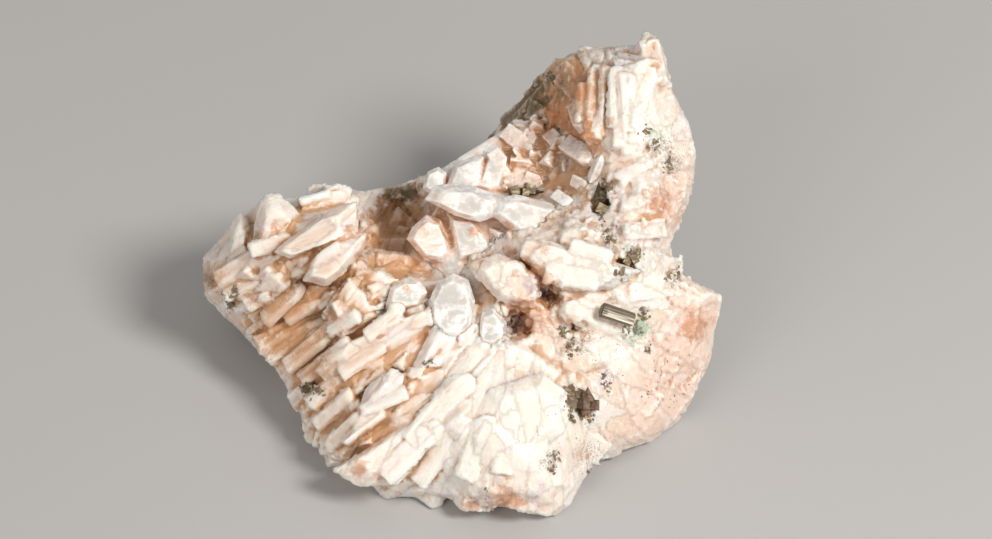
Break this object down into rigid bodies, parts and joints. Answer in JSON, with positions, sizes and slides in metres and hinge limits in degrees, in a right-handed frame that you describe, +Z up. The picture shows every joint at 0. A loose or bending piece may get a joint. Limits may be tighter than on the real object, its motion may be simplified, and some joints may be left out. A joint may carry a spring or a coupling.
{
  "type": "zeolite mineral specimen",
  "caption": "Hand-sized cluster of pale bladed zeolite with clear crystals in a broken hollow and grains of pyrite, lying on a worn flat.",
  "frame": {"origin": "on the surface that the specimen rests on, under the middle of its box", "axes": "+X to the right as the crystal face is seen, +Y away from the viewer, +Z up"},
  "size_m": [0.082, 0.0728, 0.0479],
  "materials": {
    "zeolite": "satin",
    "clear_crystal": "gloss",
    "pyrite": "satin"
  },
  "bodies": {
    "root": {"zeolite_mass": "zeolite", "clear_crystal_crust": "clear_crystal", "pyrite_bar": "pyrite", "pyrite_in_hollow": "pyrite", "pyrite_on_wall": "pyrite", "pyrite_by_notch": "pyrite", "pyrite_in_front": "pyrite", "pyrite_on_left_edge": "pyrite", "pyrite_on_left_tip": "pyrite"}
  },
  "joints": []
}
